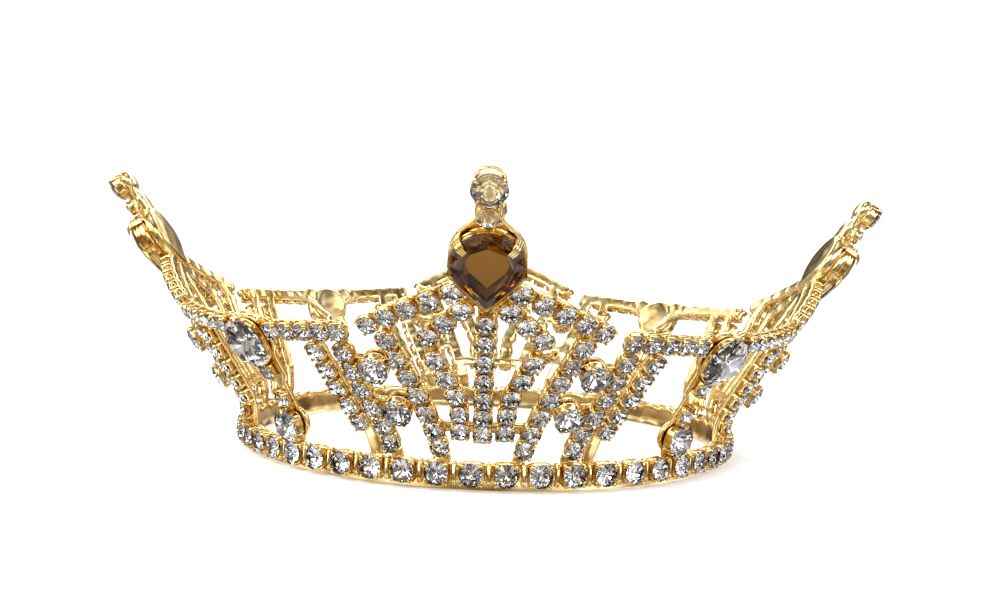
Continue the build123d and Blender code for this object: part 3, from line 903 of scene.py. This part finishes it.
base_seats = [seat((BASE_PHASE + (i + 0.5) * 360 / BASE_COUNT, BASE_CENTRE), None, SOLDER)
              for i in range(BASE_COUNT)]
base_cup = square_cup(BASE_SIDE, BASE_HEIGHT)
base_stones = [round_stone(BASE_STONE, BASE_HEIGHT, seed) for seed in range(51, 56)]
piece("band", new_mesh("band", base_metal(), [FRAME_GILT]), "base_band")
piece("band_cups", new_mesh("band_cups", placed([base_cup], base_seats), METALS),
      "base_cups")
base_gems = placed(base_stones, stone_seats(base_seats))
piece("band_stones", new_mesh("band_stones", base_gems, CLEAR, smooth=False),
      "base_stones")

# crisp edges where the settings' walls turn, smooth elsewhere
for obj in bpy.context.scene.objects:
    if obj.type == "MESH" and obj.data.materials and obj.data.materials[0] is CUP_GILT:
        obj.data.set_sharp_from_angle(angle=math.radians(50))


# ---- floor, light and camera --------------------------------------------------------------
def studio_sweep():
    """Round floor that curves up into a wall: rings of points about the crown's axis."""
    profile = [(0.5, 0.0), (3.0, 0.0), (4.5, 0.05), (5.2, 0.35), (5.6, 1.0), (5.7, 2.0), (5.7, 4.5)]
    count = 96
    turns = np.arange(count) * 2 * math.pi / count
    points = [(radius * math.cos(t), radius * math.sin(t), z - FLOOR_DROP)
              for radius, z in profile for t in turns]
    faces = [tuple(range(count))]
    for ring in range(len(profile) - 1):
        for i in range(count):
            j = (i + 1) % count
            low, high = ring * count, (ring + 1) * count
            faces.append((low + i, high + i, high + j, low + j))
    mesh = bpy.data.meshes.new("floor")
    mesh.from_pydata(points, [], faces)
    return mesh


floor_mesh = studio_sweep()
floor_material, nodes, links, shader = new_material("floor_white")
shader.inputs["Base Color"].default_value = (0.93, 0.93, 0.92, 1)
shader.inputs["Roughness"].default_value = 0.6
shader.inputs["Specular IOR Level"].default_value = 0.0
shader.inputs["Emission Color"].default_value = (1.0, 1.0, 1.0, 1)
shader.inputs["Emission Strength"].default_value = 0.25
floor_mesh.materials.append(floor_material)
floor = bpy.data.objects.new("floor", floor_mesh)
bpy.context.scene.collection.objects.link(floor)
floor.visible_glossy = False       # the crown mirrors the warm ground of the studio instead
floor.visible_transmission = False

world = bpy.data.worlds.new("studio")
bpy.context.scene.world = world
world.use_nodes = True
nodes, links = world.node_tree.nodes, world.node_tree.links
background = nodes["Background"]
direction = nodes.new("ShaderNodeTexCoord")
split = nodes.new("ShaderNodeSeparateXYZ")
links.new(direction.outputs["Generated"], split.inputs["Vector"])
height = nodes.new("ShaderNodeMapRange")
height.inputs["From Min"].default_value = -1.0
links.new(split.outputs["Z"], height.inputs["Value"])
sky = ramp(nodes, ((0.0, (0.32, 0.30, 0.29)), (0.2, (1.0, 0.98, 0.96)), (0.32, (0.55, 0.45, 0.36)),
                   (0.44, (0.13, 0.09, 0.06)),
                   (0.52, (0.36, 0.33, 0.30)), (0.60, (0.14, 0.12, 0.10)),
                   (0.67, (0.30, 0.29, 0.28)),
                   (0.70, (1.8, 1.76, 1.7)), (0.83, (1.8, 1.76, 1.7)), (0.88, (0.12, 0.10, 0.09)),
                   (0.95, (0.15, 0.13, 0.12)), (1.0, (1.2, 1.2, 1.2))))
links.new(height.outputs["Result"], sky.inputs["Fac"])
# soft patches in the studio's walls and ground, to light facets unevenly
patches = nodes.new("ShaderNodeTexNoise")
patches.inputs["Scale"].default_value = 3.2
patches.inputs["Detail"].default_value = 1.0
links.new(direction.outputs["Generated"], patches.inputs["Vector"])
patch_colours = ramp(nodes, ((0.40, (0.10, 0.08, 0.07)), (0.48, (0.85, 0.82, 0.80)),
                             (0.55, (2.0, 2.0, 2.0)), (0.64, (2.1, 2.4, 2.7))))
links.new(patches.outputs["Fac"], patch_colours.inputs["Fac"])
patched = nodes.new("ShaderNodeMixRGB")
patched.blend_type = "MULTIPLY"
patched.inputs["Fac"].default_value = 1.0
links.new(sky.outputs["Color"], patched.inputs["Color1"])
links.new(patch_colours.outputs["Color"], patched.inputs["Color2"])
links.new(patched.outputs["Color"], background.inputs["Color"])
background.inputs["Strength"].default_value = 1.0


def area_light(name, place, size, power, colour):
    data = bpy.data.lights.new(name, "AREA")
    data.size = size
    data.energy = power
    data.color = colour
    lamp = bpy.data.objects.new(name, data)
    lamp.location = place
    lamp.rotation_euler = (Vector((0, 0, 0.03)) - Vector(place)).to_track_quat("-Z", "Y").to_euler()
    bpy.context.scene.collection.objects.link(lamp)


area_light("key", (-0.55, -0.75, 0.85), 0.5, 6.0, (1.0, 0.98, 0.95))
area_light("fill", (0.8, -0.5, 0.5), 0.4, 2.0, (0.92, 0.96, 1.0))
area_light("left", (-1.0, -0.25, 0.22), 0.45, 1.8, (1.0, 1.0, 1.0))
area_light("back", (0.2, 0.9, 0.7), 0.6, 2.2, (1.0, 0.97, 0.92))

bpy.context.scene.view_settings.view_transform = "Standard"

# the camera, in millimetres and degrees about the point that it looks at
AIM_HEIGHT = 33.95
AIM_RIGHT = 2.14
DISTANCE = 280.65
TURN = math.radians(0.167)
ELEVATION = math.radians(3.31)
ROLL = math.radians(2.308)
back = Vector((math.sin(TURN) * math.cos(ELEVATION), -math.cos(TURN) * math.cos(ELEVATION),
               math.sin(ELEVATION)))
right = Vector((math.cos(TURN), math.sin(TURN), 0.0))
up = back.cross(right)
camera_data = bpy.data.cameras.new("camera")
camera_data.sensor_width = 36.0
camera_data.lens = 42.25
camera_data.clip_start = 0.01
camera = bpy.data.objects.new("camera", camera_data)
x_axis = right * math.cos(ROLL) + up * math.sin(ROLL)
y_axis = up * math.cos(ROLL) - right * math.sin(ROLL)
spot = (Vector((0, 0, AIM_HEIGHT)) + right * AIM_RIGHT + back * DISTANCE) * MM
turned = Matrix((x_axis, y_axis, back)).transposed().to_4x4()
camera.matrix_world = Matrix.Translation(spot) @ turned
bpy.context.scene.collection.objects.link(camera)
bpy.context.scene.camera = camera
